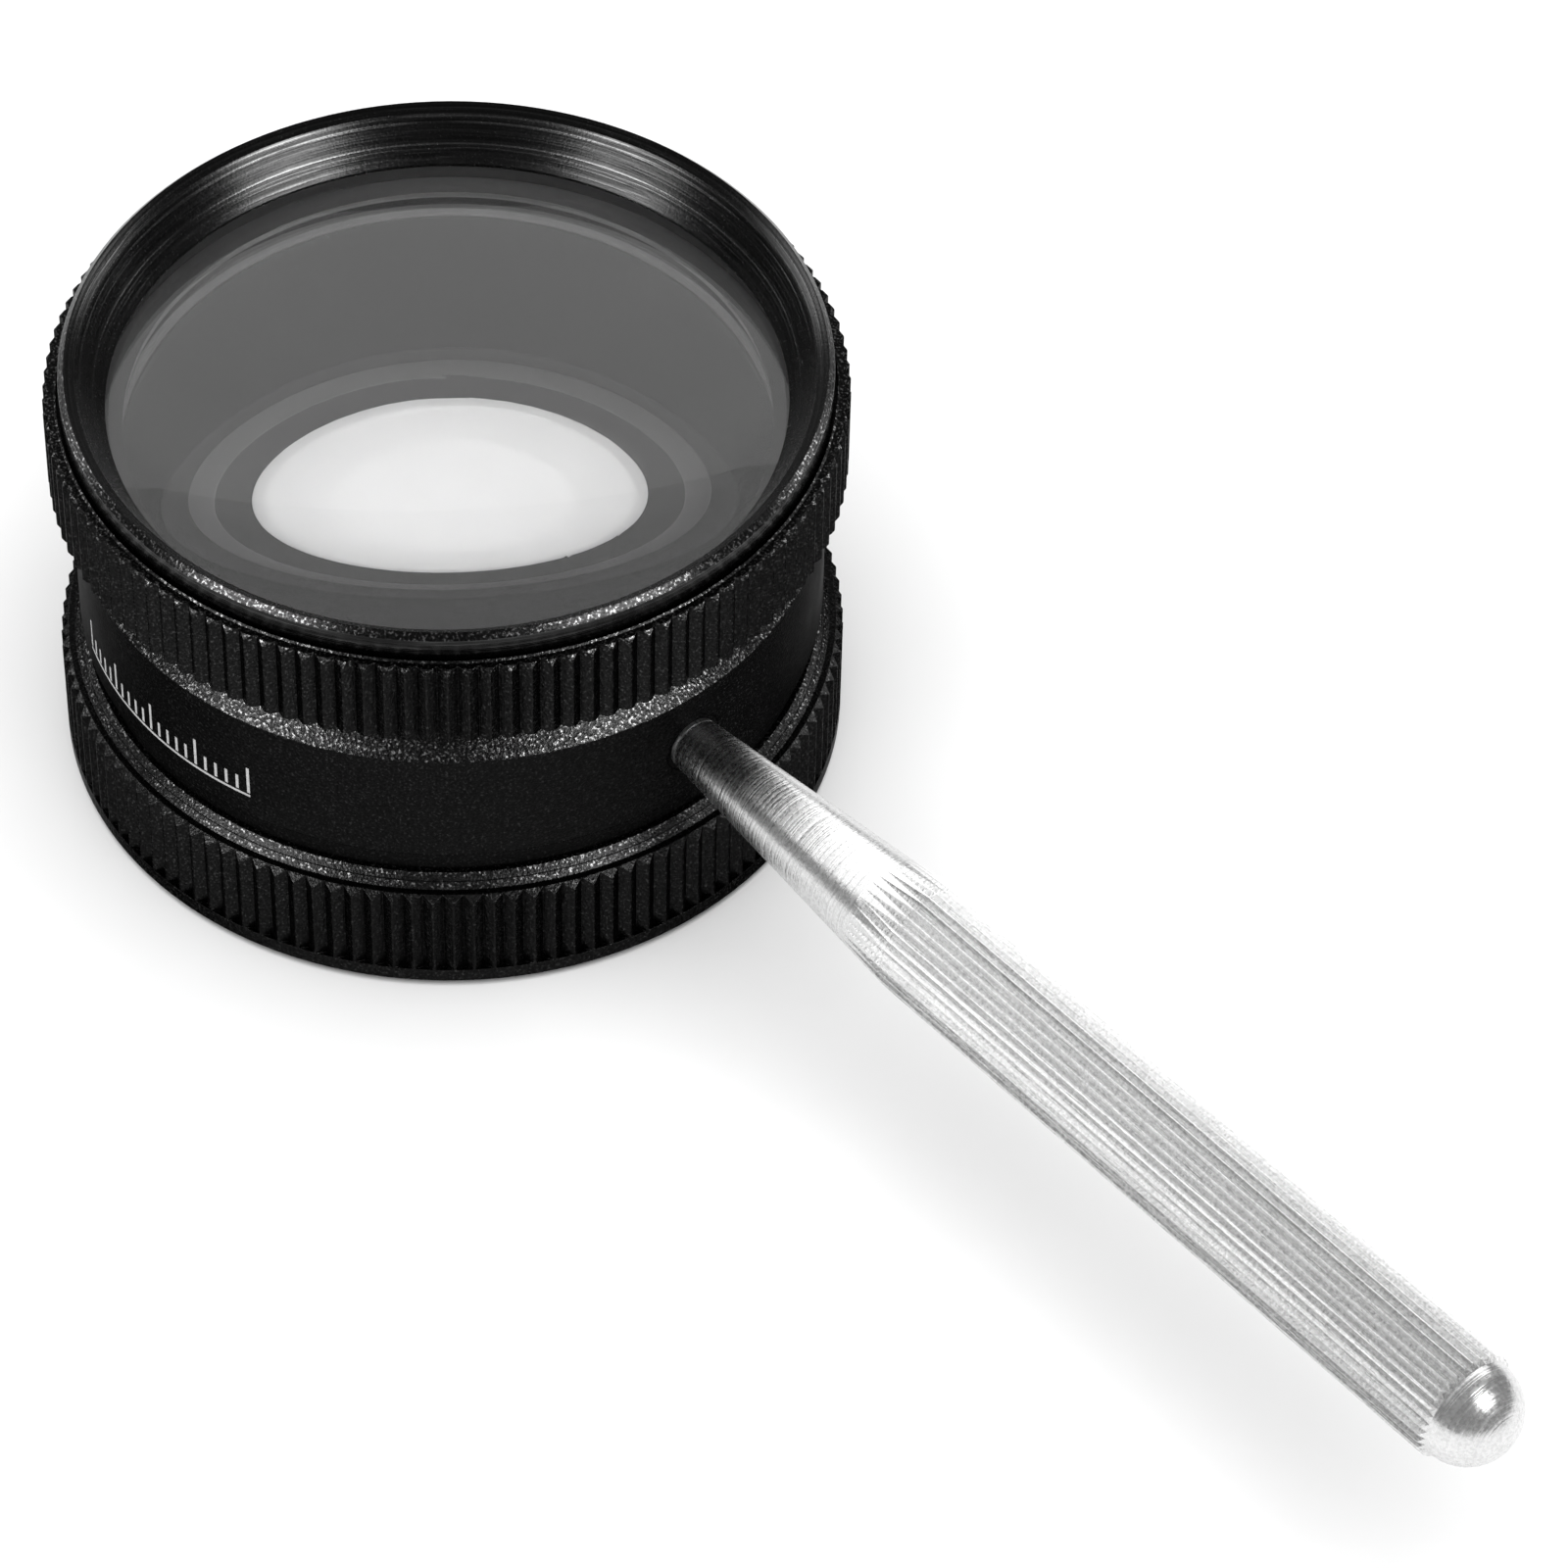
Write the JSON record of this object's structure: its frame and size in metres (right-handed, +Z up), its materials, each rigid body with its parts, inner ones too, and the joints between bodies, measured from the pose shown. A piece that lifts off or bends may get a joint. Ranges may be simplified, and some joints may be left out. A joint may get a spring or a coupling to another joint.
{
  "type": "stand magnifier loupe",
  "caption": "Round stand loupe with knurled foot and eye rings, two lenses under a funnel bezel and a screwed-in fluted side handle.",
  "frame": {"origin": "centre of the foot ring's table face, on the optical axis", "axes": "+Z up along the optical axis towards the eye, +X along the handle away from the barrel"},
  "size_m": [0.1408, 0.059, 0.0358],
  "materials": {
    "black_anodised": "black anodised, knurled, semi-gloss",
    "black_turned": "black anodised over fine turning grooves",
    "black_blasted": "bead blasted and black anodised, satin",
    "lens_glass": "clear polished optical glass",
    "seal_rubber": "matte black",
    "washer_steel": "turned steel",
    "satin_aluminium": "fine-turned satin natural aluminium with polished dome"
  },
  "bodies": {
    "foot": {"lower_ring": "black_anodised"},
    "foot_seat": {"foot_o_ring": "seal_rubber"},
    "barrel": {"barrel": "black_blasted"},
    "lens_cell": {"upper_lens": "lens_glass", "lens_spacer": "black_turned", "lower_lens": "lens_glass", "lens_seal": "seal_rubber"},
    "eye_ring": {"upper_ring": "black_anodised", "eye_bezel": "black_turned"},
    "handle_seat": {"handle_washer": "washer_steel"},
    "handle": {"handle_stud": "washer_steel", "handle_grip": "satin_aluminium"}
  },
  "joints": [
    {"name": "foot_lift", "type": "slide", "parent": "foot", "child": "foot_seat", "axis": [0, 0, 1], "range_m": [0, 0.003]},
    {"name": "foot_turn", "type": "hinge", "parent": "foot_seat", "child": "barrel", "pos_m": [0, 0, 0.0075], "axis": [0, 0, 1], "range_deg": [0, 1441]},
    {"name": "eye_lift", "type": "slide", "parent": "barrel", "child": "lens_cell", "axis": [0, 0, 1], "range_m": [0, 0.003]},
    {"name": "eye_turn", "type": "hinge", "parent": "lens_cell", "child": "eye_ring", "pos_m": [0, 0, 0.0225], "axis": [0, 0, 1], "range_deg": [0, 1441]},
    {"name": "handle_out", "type": "slide", "parent": "barrel", "child": "handle_seat", "axis": [1, 0, 0], "range_m": [0, 0.0028]},
    {"name": "handle_turn", "type": "hinge", "parent": "handle_seat", "child": "handle", "pos_m": [0.028, 0, 0.01755], "axis": [1, 0, 0], "range_deg": [0, 1441]}
  ],
  "couplings": [
    {"joint": "foot_turn", "follows": "foot_lift", "rad_per_m": 8377.6},
    {"joint": "eye_turn", "follows": "eye_lift", "rad_per_m": 8377.6},
    {"joint": "handle_turn", "follows": "handle_out", "rad_per_m": 8976}
  ]
}
